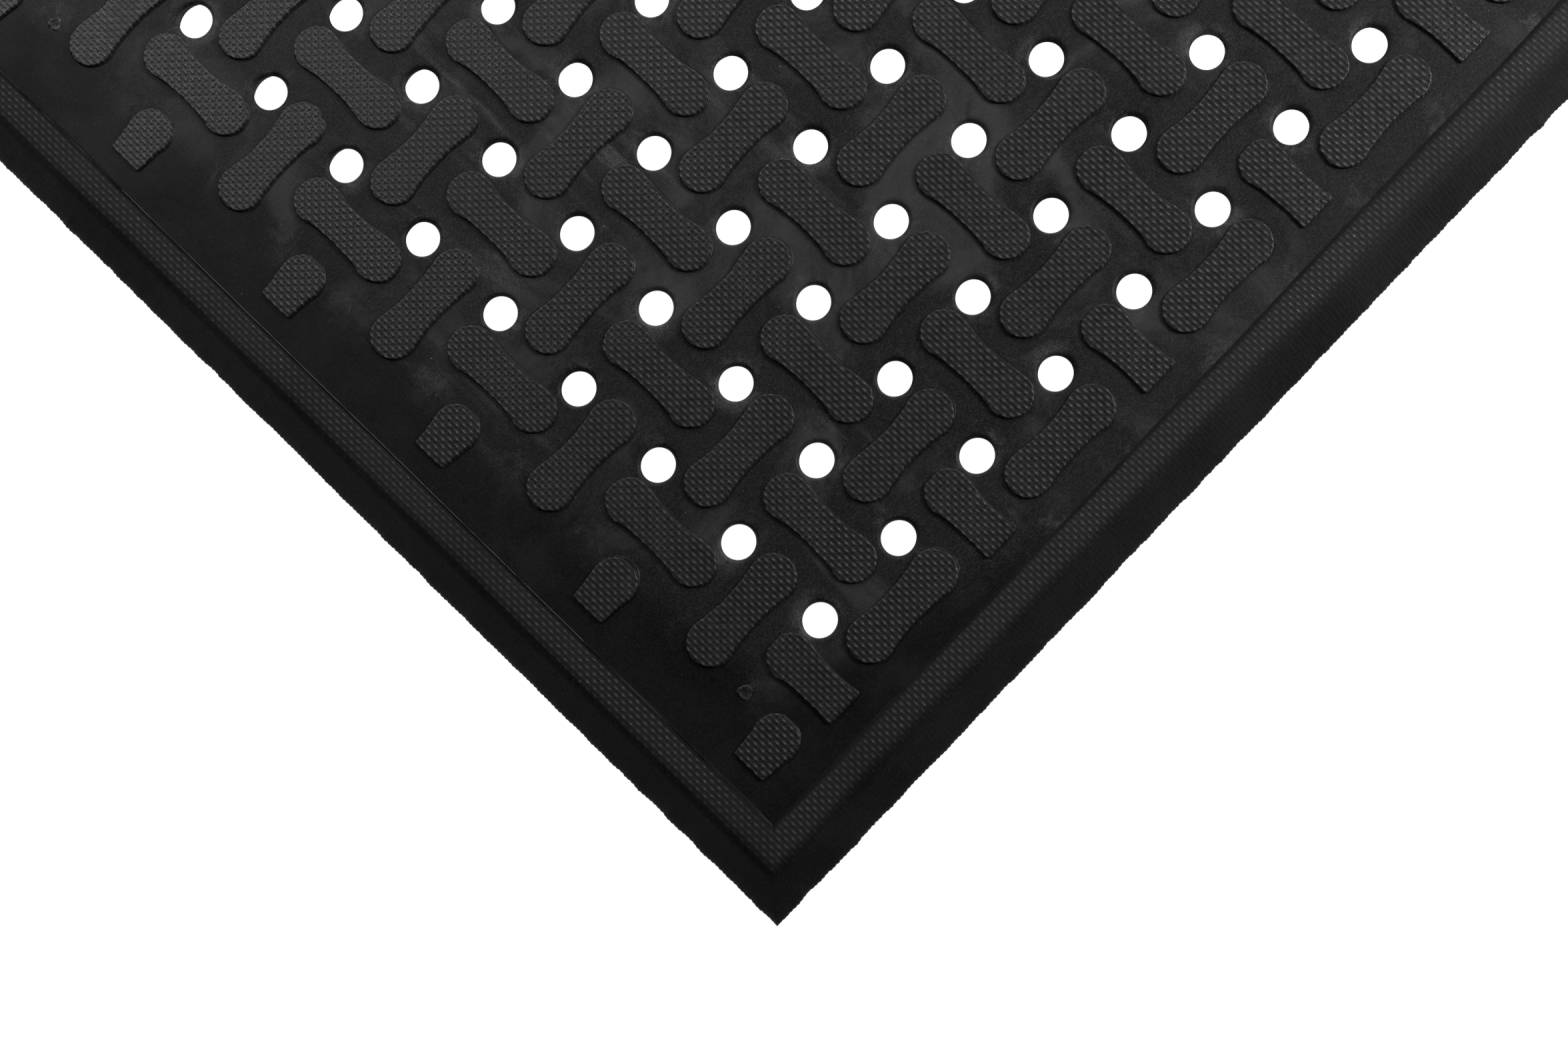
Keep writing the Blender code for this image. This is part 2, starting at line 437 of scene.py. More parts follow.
def field_rubber():
    """Smooth black rubber of the recessed field, rubbed lighter in patches, streaks and round the holes."""
    tree = Tree("field_rubber", 0.5, 0.22)
    patches = tree.ramp(tree.noise(17.0, 6.0, 0.62, 0.9), 0.48, 0.68)
    clouds = tree.ramp(tree.noise(4.5, 3.0, 0.5), 0.35, 0.7)
    inner = studded_part(tree)
    grain = tree.noise(1900.0, 4.0, 0.8)
    base = tree.mix(clouds, grey(0.0010), grey(0.0035))
    worn = tree.mix(tree.times(inner, 0.9), base, grey(0.0065))
    rubbing = tree.times(patches, tree.ramp(inner, 0.0, 1.0, 0.12, 0.90))
    rubbed = tree.mix(rubbing, worn, grey(0.046))
    chalky = tree.mix(field_chalk(tree, inner, grain), rubbed, grey(0.17))
    sprinkle = tree.times(tree.ramp(grain, 0.44, 0.66), tree.ramp(inner, 0.0, 1.0, 0.15, 0.42))
    sprinkled = tree.mix(sprinkle, chalky, grey(0.080))
    flecks = tree.ramp(tree.noise(520.0, 2.0, 0.6), 0.75, 0.80)
    tree.set("Base Color", tree.mix(flecks, sprinkled, grey(0.16)))
    shine = tree.ramp(tree.noise(26.0, 5.0, 0.6, 0.5), 0.3, 0.72, 0.36, 0.56)
    tree.set("Roughness", tree.maths("ADD", shine, tree.times(patches, 0.08)))
    swell = tree.bump(tree.noise(55.0, 3.0, 0.5), 0.0006, 0.5)
    fine = tree.bump(tree.noise(2300.0, 3.0, 0.7), 0.00012, 0.8, swell)
    tree.set("Normal", tree.bump(grain, 0.00010, 0.5, fine))
    return tree.material


def stud_rubber():
    """Rubber of the stud tops, its woven press mark painted light on the crowns and dark in the gaps: painted
    highlight and painted shade, the crowns partly wear too.
    """
    tree = Tree("stud_rubber", 0.4, 0.38)
    cloth, share = tree.cloth()
    # Painted highlight on the yarns' crowns, standing in for their glints. The worn noise makes it uneven,
    # and the crowns are partly wear too.
    crown_wear_and_highlight = tree.times(tree.ramp(cloth, 0.80, 1.0), share)
    worn = tree.ramp(tree.noise(26.0, 4.0, 0.55), 0.35, 0.7, 0.45, 1.0)
    # Painted shade and painted highlight across the weave: darker in its gaps, lighter up the yarns.
    base = tree.mix(tree.ramp(cloth, 0.05, 0.80), grey(0.0105), grey(0.044))
    colour = tree.mix(tree.times(crown_wear_and_highlight, worn), base, grey(0.190))
    specks = tree.ramp(tree.noise(2000.0, 2.0, 0.8), 0.48, 0.72)
    tree.set("Base Color", tree.mix(tree.times(specks, 0.20), colour, grey(0.10)))
    tree.set("Roughness", tree.ramp(tree.noise(300.0, 3.0, 0.6), 0.3, 0.7, 0.30, 0.46))
    fine = tree.bump(tree.noise(1700.0, 3.0, 0.7), 0.00010, 0.7)
    tree.set("Normal", tree.bump(tree.times(cloth, share), CRISP_HEIGHT, 1.0, fine))
    return tree.material


def border_rubber():
    """Dull rubber of the ramp, turning into the woven ridge where the press mark begins. The ridge is painted
    lighter, as painted highlight for the light its weave catches, and its inner side dark again as painted
    shade.
    """
    tree = Tree("border_rubber", 0.5, 0.14)
    cloth, share = tree.cloth()
    worn = tree.ramp(tree.noise(26.0, 4.0, 0.55), 0.35, 0.7, 0.4, 1.0)
    # Painted highlight on the yarns' crowns, partly wear too.
    crown_wear_and_highlight = tree.times(tree.ramp(cloth, 0.80, 1.0), worn)
    # Painted shade in the weave's gaps, and the ridge's yarns painted lighter than the ramp as painted
    # highlight.
    shaded_yarns = tree.mix(tree.ramp(cloth, 0.10, 0.85), grey(0.0200), grey(0.046))
    crests = tree.mix(crown_wear_and_highlight, shaded_yarns, grey(0.135))
    # Painted glints, scattered over the yarn tops.
    painted_glints = tree.times(tree.ramp(cloth, 0.55, 0.9), tree.ramp(tree.noise(620.0, 3.0, 0.7), 0.60, 0.68))
    ridge = tree.mix(tree.times(painted_glints, 0.55), crests, grey(0.300))
    clouds = tree.ramp(tree.noise(22.0, 4.0, 0.6), 0.35, 0.7)
    ramp = tree.mix(clouds, grey(0.0024), grey(0.0080))
    grain = tree.noise(1300.0, 4.0, 0.75)
    specks = tree.ramp(grain, 0.50, 0.66)
    ramp_dust_and_shade = tree.mix(tree.times(specks, 0.13), ramp, grey(0.075))
    # Where the press mark falls away on the ridge's inner side, the ramp's dark colour comes back there as
    # painted shade.
    tree.set("Base Color", tree.mix(tree.ramp(share, 0.0, 1.0), ramp_dust_and_shade, ridge))
    tree.set("Roughness", tree.ramp(tree.noise(40.0, 4.0, 0.6), 0.3, 0.7, 0.42, 0.58))
    rough = tree.bump(grain, 0.00020, 0.8)
    tree.set("Normal", tree.bump(tree.times(cloth, share), CRISP_HEIGHT, 1.0, rough))
    return tree.material


def flash_rubber():
    """Thin flash, chalky along its crests and pale along the joint with the border."""
    tree = Tree("flash_rubber", 0.4, 0.5)
    chalk = tree.ramp(tree.noise(160.0, 4.0, 0.7), 0.52, 0.74)
    place_x = tree.split(tree.place)[0]
    joint = tree.ramp(tree.maths("ABSOLUTE", place_x), FIELD_X - 0.0030, FIELD_X - 0.0010)
    pale = tree.times(joint, tree.ramp(tree.noise(70.0, 4.0, 0.6), 0.38, 0.56, 0.35, 1.0))
    chalky = tree.mix(chalk, grey(0.010), grey(0.070))
    tree.set("Base Color", tree.mix(pale, chalky, grey(0.150)))
    tree.set("Roughness", tree.ramp(tree.noise(700.0, 3.0, 0.6), 0.3, 0.7, 0.34, 0.52))
    tree.set("Normal", tree.bump(tree.noise(2300.0, 3.0, 0.7), 0.00006, 0.6))
    return tree.material


def foam_rubber():
    """Matt closed-cell foam with fine cells."""
    tree = Tree("foam_rubber", 0.8, 0.2)
    cells = tree.add("TexVoronoi", {"Vector": tree.place, "Scale": 1600.0}).outputs["Distance"]
    # Painted shade: the cells' pits are painted darker than the foam round them.
    pit_shade = tree.ramp(cells, 0.1, 0.6)
    base = tree.mix(tree.ramp(tree.noise(12.0, 4.0, 0.6), 0.3, 0.7), grey(0.010), grey(0.018))
    tree.set("Base Color", tree.mix(pit_shade, grey(0.006), base))
    tree.set("Roughness", tree.ramp(tree.noise(80.0, 3.0, 0.6), 0.3, 0.7, 0.74, 0.90))
    tree.set("Normal", tree.bump(cells, 0.0002, 0.6))
    return tree.material


# Sheets with drain holes

# Directions round a hole, from the corner of its square at low X and low Y
HOLE_ANGLES = math.tau * (np.arange(HOLE_SIDES) / HOLE_SIDES + 0.625)


def hole_edges(index, count, first, edge):
    """Where a row of holes is divided between its holes, out to the sheet's two edges."""
    low = -edge if index == 0 else first + (index - 0.5) * PITCH
    high = edge if index == count - 1 else first + (index + 0.5) * PITCH
    return low, high


def rectangle_walk(low_x, high_x, low_y, high_y):
    """HOLE_SIDES points round a rectangle, the same number on each side, from its low corner."""
    corners = np.array([(low_x, low_y), (high_x, low_y), (high_x, high_y), (low_x, high_y)])
    edges = np.roll(corners, -1, axis=0) - corners
    steps = np.arange(SIDES_PER_EDGE) / SIDES_PER_EDGE
    return (corners[:, :, None] + edges[:, :, None] * steps).transpose(1, 0, 2).reshape(2, -1)


def punched_circle(centre, radius, seed):
    """Points round a hole that came out slightly oval and uneven."""
    random = np.random.default_rng(seed)
    wobble = HOLE_OVAL * np.cos(2 * (HOLE_ANGLES - HOLE_OVAL_HEADING))
    for lobes in (2, 3, 5, 8):
        height = random.normal(0.0, 0.0065 / lobes)
        wobble += height * np.cos(lobes * HOLE_ANGLES + random.uniform(0, math.tau))
    return centre + radius * (1 + wobble) * np.stack([np.cos(HOLE_ANGLES), np.sin(HOLE_ANGLES)])


def mouth_lean(seed, column):
    """How much wider than its profile a hole's mouth is, in each direction.

    The punch leant towards +X, more so away from the mat's first columns.
    """
    random = np.random.default_rng(seed + 20000)
    lean = min(0.12 * column, 0.60) + random.uniform(0.0, 0.2)
    return 0.75 + 0.25 * lean + lean * np.cos(HOLE_ANGLES - random.normal(0.1, 0.35)) * 0.75


def drilled_sheet(profile, top_edge, bottom_edge, radius, seed, lift):
    """A sheet of rings of faces round its holes: its corners, its quads, and the quads of its outer side.

    The profile runs from the sheet's upper face, down the hole's wall and out along its lower face. Each step
    has a share of the way from the hole to the middle between holes, an extra radius, a height, and whether
    it is part of the upper face.
    """
    points = []
    for column in range(HOLE_COLUMNS):
        for row in range(HOLE_ROWS):
            centre = np.array([[FIRST_HOLE_X + column * PITCH], [FIRST_HOLE_Y + row * PITCH]])
            hole_seed = seed + column * HOLE_ROWS + row
            rim = punched_circle(centre, radius, hole_seed)
            sides = {}
            for upper, edge in ((True, top_edge), (False, bottom_edge)):
                edges_x = hole_edges(column, HOLE_COLUMNS, FIRST_HOLE_X, edge[0])
                edges_y = hole_edges(row, HOLE_ROWS, FIRST_HOLE_Y, edge[1])
                sides[upper] = rectangle_walk(*edges_x, *edges_y)
            lean = mouth_lean(hole_seed, column)
            for share, wider, height, upper in profile:
                scale = 1 + wider * (lean if upper else 1.0) / radius
                ring = centre + (rim - centre) * scale
                ring = ring + (sides[upper] - ring) * share
                z = np.full(HOLE_SIDES, height)
                if upper:
                    z = z + lift(*ring)
                points.append(np.stack([*ring, z], 1))
    cells = HOLE_COLUMNS * HOLE_ROWS
    index = np.arange(cells * len(profile) * HOLE_SIDES).reshape(cells, len(profile), HOLE_SIDES)
    after = np.roll(index, -1, axis=2)
    quads = np.stack([index[:, :-1], index[:, 1:], after[:, 1:], after[:, :-1]], -1).reshape(-1, 4)
    return np.concatenate(points), quads, outer_side(index)


def outer_side(index):
    """Quads between the sheet's upper and lower faces along its outer edge."""
    quads = []
    for column in range(HOLE_COLUMNS):
        for row in range(HOLE_ROWS):
            cell = index[column * HOLE_ROWS + row]
            on_edge = [row == 0, column == HOLE_COLUMNS - 1, row == HOLE_ROWS - 1, column == 0]
            for k in range(HOLE_SIDES):
                if on_edge[k // SIDES_PER_EDGE]:
                    n = (k + 1) % HOLE_SIDES
                    quads.append((cell[0, k], cell[0, n], cell[-1, n], cell[-1, k]))
    return np.array(quads)


def field_lift(x, y):
    """The slight unevenness of the moulded field."""
    return 0.00012 * layered(x, y, 0.034, 31)


def no_lift(x, y):
    return np.zeros(np.shape(x))


def make_tread_field(material):
    """The recessed field of the tread cap, with softly funnelled mouths round its punched holes."""
    profile = [(share, 0.0024, FIELD_TOP, True) for share in (1.00, 0.72, 0.46, 0.22, 0.00)]
    profile += [
        (0.00, 0.0018, FIELD_TOP - 0.00003, True),
        (0.00, 0.0013, FIELD_TOP - 0.00016, True),
        (0.00, 0.0009, FIELD_TOP - 0.00045, True),
        (0.00, 0.0005, FIELD_TOP - 0.00085, True),
        (0.00, 0.00015, FIELD_TOP - 0.00125, True),
        (0.00, 0.0, CAP_BOTTOM + 0.0003, False),
        (0.00, 0.0001, CAP_BOTTOM, False),
        (1.00, 0.0, CAP_BOTTOM, False),
    ]
    edge = (FIELD_X, FIELD_Y)
    points, quads, side = drilled_sheet(profile, edge, edge, HOLE_RADIUS, 4000, field_lift)
    piece = mesh_piece("tread_field", points, np.concatenate([quads, side]), [], material)
    weld(piece)
    shade(piece, 50)
    finish_piece(piece, "tread_cap")


def make_foam_core(material):
    """The foam under the tread, its lower edge stepped back over the border's lap."""
    top = CAP_BOTTOM - BOND_LINE
    profile = [
        (1.00, 0.0, top, True),
        (0.00, 0.0, top, True),
        (0.00, -0.00008, top * 0.75, False),
        (0.00, -0.00012, top * 0.40, False),
        (0.00, 0.0, 0.0004, False),
        (0.00, 0.0004, 0.0, False),
    ]
    profile += [(share, 0.0010, 0.0, False) for share in (0.25, 0.60, 1.00)]
    lap_edge = LAP_END - BORDER_WIDTH
    low_edge = (FIELD_X - lap_edge, FIELD_Y - lap_edge)
    top_edge = (FIELD_X, FIELD_Y)
    points, quads, side = drilled_sheet(profile, top_edge, low_edge, CORE_HOLE_RADIUS, 8000, no_lift)
    steps, step_quads = stepped_edge(points, side)
    points = np.concatenate([points, steps])
    piece = mesh_piece("foam_core", points, np.concatenate([quads, step_quads]), [], material)
    weld(piece)
    shade(piece, 40)
    finish_piece(piece, "cushion_core")


def stepped_edge(points, side):
    """Closes the foam's outer side with a step over the lap: up, outwards and up again."""
    steps = []
    quads = []
    level = LAP_HEIGHT + BOND_LINE
    for a, b, c, d in side:
        first = len(points) + len(steps)
        steps += [(points[k][0], points[k][1], level) for k in (d, c, a, b)]
        quads += [(d, c, first + 1, first), (first, first + 1, first + 3, first + 2)]
        quads += [(first + 2, first + 3, b, a)]
    return np.array(steps), np.array(quads)


# Studs


def half_outline():
    """The dog-bone's upper side from its left tip to its right tip, as lobe, concave waist and lobe."""
    lobe = LOBE_WIDTH / 2
    waist = WAIST_WIDTH / 2
    centre = STUD_LENGTH / 2 - lobe
    hollow = (centre**2 + waist**2 - lobe**2) / (2 * (lobe - waist))
    tilt = math.atan2(centre, waist + hollow)
    points = []
    for angle in np.linspace(math.pi, math.pi / 2 - tilt, LOBE_STEPS):
        points.append((-centre + lobe * math.cos(angle), lobe * math.sin(angle)))
    for angle in np.linspace(-tilt, tilt, WAIST_STEPS)[1:-1]:
        points.append((hollow * math.sin(angle), waist + hollow - hollow * math.cos(angle)))
    for angle in np.linspace(math.pi / 2 + tilt, 0.0, LOBE_STEPS):
        points.append((centre + lobe * math.cos(angle), lobe * math.sin(angle)))
    return points


def even_loop(points, step):
    """A closed line's points, spaced evenly about step apart, and the outward direction at each."""
    points = np.array(points)
    closed = np.concatenate([points, points[:1]])
    lengths = np.linalg.norm(np.diff(closed, axis=0), axis=1)
    walked = np.concatenate([[0], np.cumsum(lengths)])
    count = int(walked[-1] / step)
    at = np.arange(count) * walked[-1] / count
    loop = np.stack([np.interp(at, walked, closed[:, 0]), np.interp(at, walked, closed[:, 1])], 1)
    along = np.roll(loop, -1, axis=0) - np.roll(loop, 1, axis=0)
    along /= np.linalg.norm(along, axis=1)[:, None]
    return loop, np.stack([along[:, 1], -along[:, 0]], 1)


def inside(points, loop):
    """Which points lie inside a closed loop."""
    x, y = points[:, 0], points[:, 1]
    found = np.zeros(len(points), bool)
    for (x0, y0), (x1, y1) in zip(loop, np.roll(loop, -1, axis=0)):
        if y0 != y1:
            crosses = (y0 > y) != (y1 > y)
            found ^= crosses & (x < (x1 - x0) * (y - y0) / (y1 - y0) + x0)
    return found


# A stud's section at its edge: how far outwards, how high, and how much of the weave it carries
STUD_EDGE = [
    (0.00060, FIELD_TOP - 0.00016, 0.0),
    (0.00028, FIELD_TOP + 0.00004, 0.0),
    (0.00010, FIELD_TOP + 0.00030, 0.3),
    (0.00004, THICKNESS - 0.00045, 0.6),
    (-0.00004, THICKNESS - 0.00022, 0.7),
    (-0.00018, THICKNESS - 0.00014, 0.9),
    (-0.00050, THICKNESS - 0.00012, 1.0),
]
# How far inside the stud's last ring of corners its grid of corners begins
GRID_GAP = 0.00022


def stud_outline(across, low, high):
    """A stud's outline about its own centre, cut off square where low or high falls short of its tips."""
    upper = half_outline()
    if low > -STUD_LENGTH / 2 or high < STUD_LENGTH / 2:
        outline = square_cut(upper, low, high)
    else:
        outline = upper + [(x, -y) for x, y in reversed(upper)][1:-1]
    outline.reverse()
    if across:
        outline = [(-y, x) for x, y in outline]
    return outline


def yarn_grid(margin):
    """Corners inside a margin, on a grid that keeps in step with the cloth's yarns under every stud."""
    shift = np.array([STUD_SHIFT_X + FIRST_HOLE_X + PITCH / 2, STUD_SHIFT_Y + FIRST_HOLE_Y + PITCH / 2])
    reach = STUD_LENGTH / 2
    first = np.ceil((shift - reach) / GRID).astype(int)
    final = np.floor((shift + reach) / GRID).astype(int)
    steps = np.arange(first[0], final[0]), np.arange(first[1], final[1])
    grid_x, grid_y = np.meshgrid(*steps, indexing="ij")
    grid = np.stack([grid_x.ravel(), grid_y.ravel()], 1) * GRID - shift
    return grid[inside(grid, margin)]


def stud_template(across, low, high):
    """One stud about its own centre: its corners' places, heights, weave shares and pushes, and its faces."""
    loop, outwards = even_loop(stud_outline(across, low, high), OUTLINE_STEP)
    count = len(loop)
    places = [loop + outwards * out for out, _, _ in STUD_EDGE]
    heights = [np.full(count, height) for _, height, _ in STUD_EDGE]
    shares = [np.full(count, share) for _, _, share in STUD_EDGE]
    pushes = [outwards * share for _, _, share in STUD_EDGE]
    last_out, top_level, _ = STUD_EDGE[-1]
    grid = yarn_grid(loop + outwards * (last_out - GRID_GAP))
    corners = [Vector(place) for place in np.concatenate([places[-1], grid])]
    edges = [(k, (k + 1) % count) for k in range(count)]
    _, _, faces, origin, _, _ = delaunay_2d_cdt(corners, edges, [], 1, 1e-9)
    offset = (len(STUD_EDGE) - 1) * count
    top = np.array([[origin[corner][0] + offset for corner in face] for face in faces])
    quads = ring_quads(np.arange(len(STUD_EDGE) * count).reshape(len(STUD_EDGE), count))
    places = np.concatenate([*places, grid])
    heights = np.concatenate([*heights, np.full(len(grid), top_level)])
    shares = np.concatenate([*shares, np.ones(len(grid))])
    pushes = np.concatenate([*pushes, np.zeros((len(grid), 2))])
    return places, heights, shares, pushes, quads, top


def square_cut(upper, low, high):
    """A dog-bone cut off square at low and high, with its cut corners barely rounded."""
    side = []
    if low > -STUD_LENGTH / 2:
        half = float(np.interp(low, *zip(*upper)))
        side += [(low, 0.0), (low, half * 0.5), (low, half - CUT_CORNER), (low + CUT_CORNER, half)]
    side += [(x, y) for x, y in upper if low + CUT_CORNER < x < high - CUT_CORNER]
    if high < STUD_LENGTH / 2:
        half = float(np.interp(high, *zip(*upper)))
        side += [(high - CUT_CORNER, half), (high, half - CUT_CORNER), (high, half * 0.5), (high, 0.0)]
    return side + [(x, -y) for x, y in reversed(side) if abs(y) > 1e-6]


def studs_of_row(row):
    """Centre, direction and cut ends of each stud in a row."""
    for column in STUD_COLUMNS:
        x = FIRST_HOLE_X + (column + 0.5) * PITCH + STUD_SHIFT_X
        y = FIRST_HOLE_Y + (row + 0.5) * PITCH + STUD_SHIFT_Y
        across = (column + row) % 2 == 0
        middle, edge = (y, PATTERN_EDGE_Y) if across else (x, PATTERN_EDGE_X)
        beside, side_edge = (x, PATTERN_EDGE_X) if across else (y, PATTERN_EDGE_Y)
        low = max(-STUD_LENGTH / 2, -edge - middle)
        high = min(STUD_LENGTH / 2, edge - middle)
        if abs(beside) < side_edge and high - low > LEAST_STUB * STUD_LENGTH:
            yield column, (x, y), across, low, high


def make_stud_row(row, templates, material):
    """All the studs of one row of the grid, as one piece."""
    points, marks, quads, tops = [], [], [], []
    count = 0
    for _, centre, across, low, high in studs_of_row(row):
        key = (across, round(low, 6), round(high, 6))
        if key not in templates:
            templates[key] = stud_template(across, low, high)
        places, heights, shares, pushes, stud_quads, top = templates[key]
        x = places[:, 0] + centre[0]
        y = places[:, 1] + centre[1]
        mark = woven(x, y)
        depth = press_depth(x, y) * WEAVE_HEIGHT
        wander = 0.00024 * noise(x, y, 0.0065, 41) + 0.00018 * noise(x, y, 0.0019, 42)
        wander += 0.00014 * (mark - 0.5)
        z = heights + shares * depth * (mark - MARK_LEVEL) * 2
        x = x + pushes[:, 0] * wander
        y = y + pushes[:, 1] * wander
        points.append(np.stack([x, y, z], 1))
        marks.append(press_values(x, y, shares))
        quads.append(stud_quads + count)
        tops.append(top + count)
        count += len(places)
    name = f"tread_studs_{row + 2:02d}"
    arrays = [np.concatenate(parts) for parts in (points, quads, tops)]
    piece = mesh_piece(name, *arrays, material, np.concatenate(marks))
    shade(piece, 55)
    finish_piece(piece, "tread_cap")


# Flash: hair-thin ridges that the mould's joints left on the field, and two round plug marks

# How deep a ridge's foot lies in the field, and how many points a hair has
RIDGE_FOOT = 0.00004
HAIR_STEPS = 12

# A plug mark's section, as radius and height, from its middle to its rim
PLUG_SIDES = 28
PLUG_SECTION = [
    (0.0, 0.00002),
    (0.0010, 0.00002),
    (0.0016, 0.00010),
    (0.0021, 0.00026),
    (0.0026, 0.00016),
    (0.0029, -0.00006),
]


def ridge_line(path, half_width, height, level=FIELD_TOP):
    """A thin ridge of triangular section along a path at a level, dying away at both its ends."""
    path = np.asarray(path)
    along = np.gradient(path, axis=0)
    along /= np.linalg.norm(along, axis=1)[:, None]
    side = np.stack([-along[:, 1], along[:, 0]], 1)
    fade = np.sqrt(np.clip(np.sin(np.linspace(0.0, math.pi, len(path))), 0.0, 1.0))[:, None]
    foot = field_lift(path[:, 0], path[:, 1])[:, None] + level - RIDGE_FOOT
    reach = side * half_width * (0.3 + 0.7 * fade)
    left = np.hstack([path + reach, foot])
    right = np.hstack([path - reach, foot])
    crown = np.hstack([path, foot + RIDGE_FOOT + height * fade])
    points = np.stack([left, crown, right], 1).reshape(-1, 3)
    index = np.arange(len(points)).reshape(-1, 3)
    return points, ring_quads(index), [index[0][::-1], index[-1]]


def crease_paths(column, row, centre, across, low, high):
    """Where a stud's flash lies: a slipped copy of part of its outline, and hairs out from its waist."""
    random = np.random.default_rng(9000 + 100 * (column + 2) + row + 2)
    whole = low <= -STUD_LENGTH / 2 and high >= STUD_LENGTH / 2
    if across:
        outline = np.array([(y, -x) for x, y in half_outline()])
    else:
        lobe = LOBE_WIDTH / 2
        turns = np.linspace(-1.75, 1.75, LOBE_STEPS)
        outline = [(STUD_LENGTH / 2 - lobe + lobe * math.cos(turn), lobe * math.sin(turn)) for turn in turns]
        outline = np.array(outline)
    offset = random.uniform(0.0008, 0.0013)
    if random.random() < (0.62 if whole else 0.45):
        share = random.uniform(0.35, 0.95)
        start = random.uniform(0.0, 1.0 - share)
        steps = np.arange(int(start * len(outline)), int((start + share) * len(outline)))
        shown = whole if across else high >= STUD_LENGTH / 2
        if shown:
            path = outline[steps] + (offset, 0.0)
            wobble = np.cumsum(random.normal(0.0, 0.00002, (len(path), 2)), axis=0)
            yield path + wobble + centre
    for side in (-1, 1):
        if random.random() < 0.4 and whole:
            reach = random.uniform(0.0018, 0.0050)
            first = WAIST_WIDTH / 2 + 0.0003
            out = np.linspace(first, first + reach, HAIR_STEPS) * side
            drift = random.normal(0.0, 0.0009) + np.linspace(0.0, random.normal(0.0, 0.0006), HAIR_STEPS)
            hair = np.stack([out, drift] if across else [drift, out], 1)
            yield hair + centre


def plug_mark(x, y, seed):
    """A low uneven ring with a dished middle."""
    radii, heights = np.array(PLUG_SECTION).T[:, :, None]
    turns = np.linspace(0.0, math.tau, PLUG_SIDES, endpoint=False)
    random = np.random.default_rng(seed)
    uneven = 1.0 + 0.12 * np.cos(turns - 1.0) + 0.08 * np.cos(3 * turns)
    radii = radii * (uneven + random.normal(0.0, 0.06, (len(radii), len(turns))))
    heights = heights * random.uniform(0.2, 1.7, radii.shape)
    heights[-1] = PLUG_SECTION[-1][1]
    heights[1:-1] *= 1.0 + 0.6 * np.cos(turns - 2.2)
    rings = [x + radii * np.cos(turns), y + radii * np.sin(turns), FIELD_TOP + heights]
    index = np.arange(radii.size).reshape(radii.shape)
    after = np.roll(index, -1, axis=1)
    quads = np.stack([index[:-1], index[1:], after[1:], after[:-1]], -1).reshape(-1, 4)
    return np.stack(rings, -1).reshape(-1, 3), quads, [index[-1][::-1]]


def flash_parts():
    """The ridges beside the studs and along the joints with the short sides' strips, and the plug marks."""
    for row in STUD_ROWS:
        for column, centre, across, low, high in studs_of_row(row):
            random = np.random.default_rng(column * 50 + row + 5000)
            for path in crease_paths(column, row, centre, across, low, high):
                half_width = random.uniform(0.00012, 0.00022)
                yield ridge_line(path, half_width, random.uniform(0.00006, 0.00016))
    for side in (-1, 1):
        y = np.linspace(-FIELD_Y + 0.0005, FIELD_Y - 0.0005, 400)
        x = side * (FIELD_X - 0.00002) + 0.00006 * noise(y, y * 0, 0.011, 61)
        yield ridge_line(np.stack([x, y], 1), 0.00015, 0.00045, THICKNESS - 0.00055)
    for number, row in enumerate((0.03, 8.95)):
        yield plug_mark(FIRST_HOLE_X - 0.92 * PITCH, FIRST_HOLE_Y + row * PITCH, 700 + number)


def make_flash(material):
    """All the flash, as one piece."""
    points, quads, ends = [], [], []
    count = 0
    for part_points, part_quads, part_ends in flash_parts():
        points.append(part_points)
        quads.append(part_quads + count)
        ends += [[int(k) + count for k in end] for end in part_ends]
        count += len(part_points)
    piece = mesh_piece("tread_flash", np.concatenate(points), np.concatenate(quads), [], material)
    close_ends(piece, ends)
    shade(piece, 40)
    finish_piece(piece, "tread_cap")


# Border


# The section's heights, at distances inwards from the outer edge. The front and back strips roll softly down
# into the field, and the left and right ones end in a groove with a thin fin of flash beside it.
OUTER_SECTION = [
    (0.0000, 0.0004),
    (0.0001, 0.0010),
    (0.0006, 0.00150),
    (0.0020, 0.00245),
    (0.0115, 0.00830),
    (0.0126, 0.00878),
    (0.0136, 0.00907),
    (0.0148, 0.00925),
    (0.0165, 0.00936),
    (0.0190, 0.00940),
    (0.0215, 0.00939),
]
SOFT_SECTION = OUTER_SECTION + [
    (0.0228, 0.00936),
    (0.0237, 0.00932),
    (0.0244, 0.00924),
    (0.0250, 0.00907),
    (0.0256, 0.00878),
    (0.0261, 0.00846),
    (0.0265, 0.00822),
    (0.0269, FIELD_TOP - 0.00012),
]
FIN_SECTION = OUTER_SECTION + [
    (0.0228, 0.00938),
    (0.0237, 0.00935),
    (0.0244, 0.00930),
    (0.0250, 0.00914),
    (0.0256, 0.00900),
    (0.0259, 0.00920),
    (0.0261, 0.00910),
    (0.0264, FIELD_TOP - 0.00008),
]

# Distances inwards of the strip's rows of corners over its upper side
RAMP_ROWS = [0.0, 0.0001, 0.0006, 0.0013, 0.0020, 0.0035]
RAMP_ROWS += [0.0050, 0.0065, 0.0080, 0.0092, 0.0104, 0.0115, 0.0126]
RIDGE_FROM = 0.0134
RIDGE_TO = 0.0244
RIDGE_ROWS = list(np.arange(RIDGE_FROM, RIDGE_TO - GRID / 2, GRID))
INNER_ROWS = [0.0247, 0.0250, 0.0253, 0.0256, 0.0259, 0.0261, 0.0263, 0.0265, 0.0269]

# The rest of the section, as distance inwards and height: down its inner side, along its lap and back under
LAP_ROWS = [
    (BORDER_WIDTH, FIELD_TOP - 0.0001),
    (BORDER_WIDTH, LAP_HEIGHT),
    (LAP_END, LAP_HEIGHT),
    (LAP_END, 0.0),
    (0.0004, 0.0),
]

